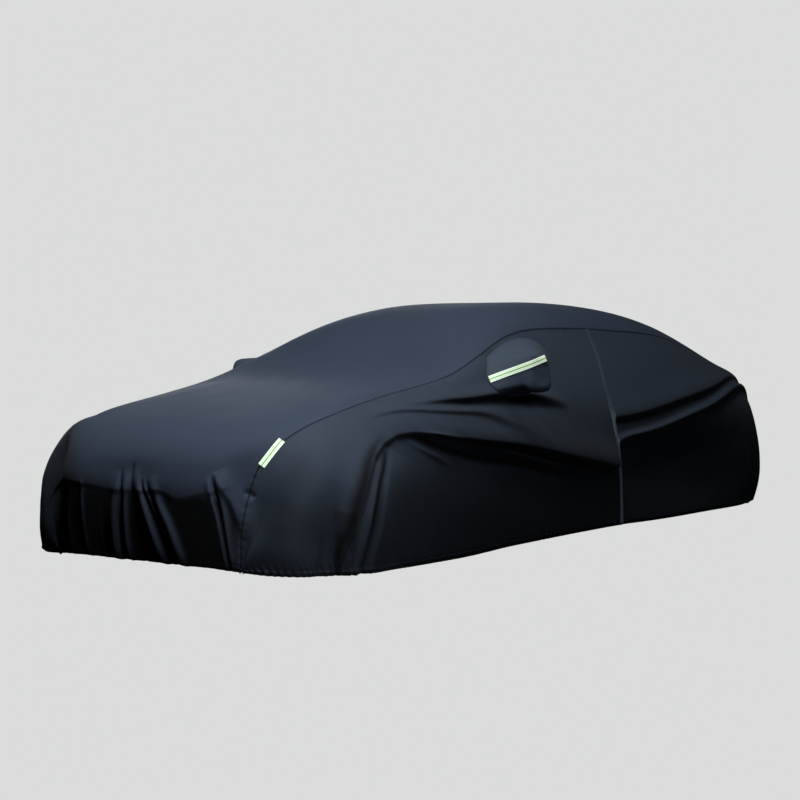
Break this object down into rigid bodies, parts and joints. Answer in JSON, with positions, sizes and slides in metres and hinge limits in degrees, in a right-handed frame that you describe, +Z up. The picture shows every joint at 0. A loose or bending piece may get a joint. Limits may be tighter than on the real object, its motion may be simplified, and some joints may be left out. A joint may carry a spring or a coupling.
{
  "type": "car cover",
  "caption": "Fitted cloth cover for a fastback car, shaped as it hangs when on, with a loose skirt, mirror pockets, a flap over the door zip and reflective strips.",
  "frame": {"origin": "on the level of the lowest point of the hem, under the middle of the cover's bounding box", "axes": "+Y from the nose to the tail, +X to the cover's left side, where the door zip is, +Z up"},
  "size_m": [2.116, 4.8323, 1.2878],
  "materials": {
    "top_cloth": "woven polyester, dark slate blue, soft sheen",
    "side_cloth": "woven polyester, dark slate, soft sheen",
    "flap_cloth": "woven polyester, folded double, matte",
    "pocket_cloth": "woven polyester, stretched, soft sheen",
    "reflective_tape": "pale green retroreflective tape with a fine lattice and a centre stitch",
    "seam_thread": "dark polyester sewing thread",
    "hem_elastic": "cloth gathered over elastic, matte"
  },
  "bodies": {
    "root": {"top_panel": "top_cloth", "side_left_front": "side_cloth", "side_left_rear": "side_cloth", "side_right": "side_cloth", "door_flap": "flap_cloth", "mirror_pocket_left": "pocket_cloth", "mirror_pocket_right": "pocket_cloth", "corner_strip_left": "reflective_tape", "pocket_strip_left": "reflective_tape"}
  },
  "joints": []
}
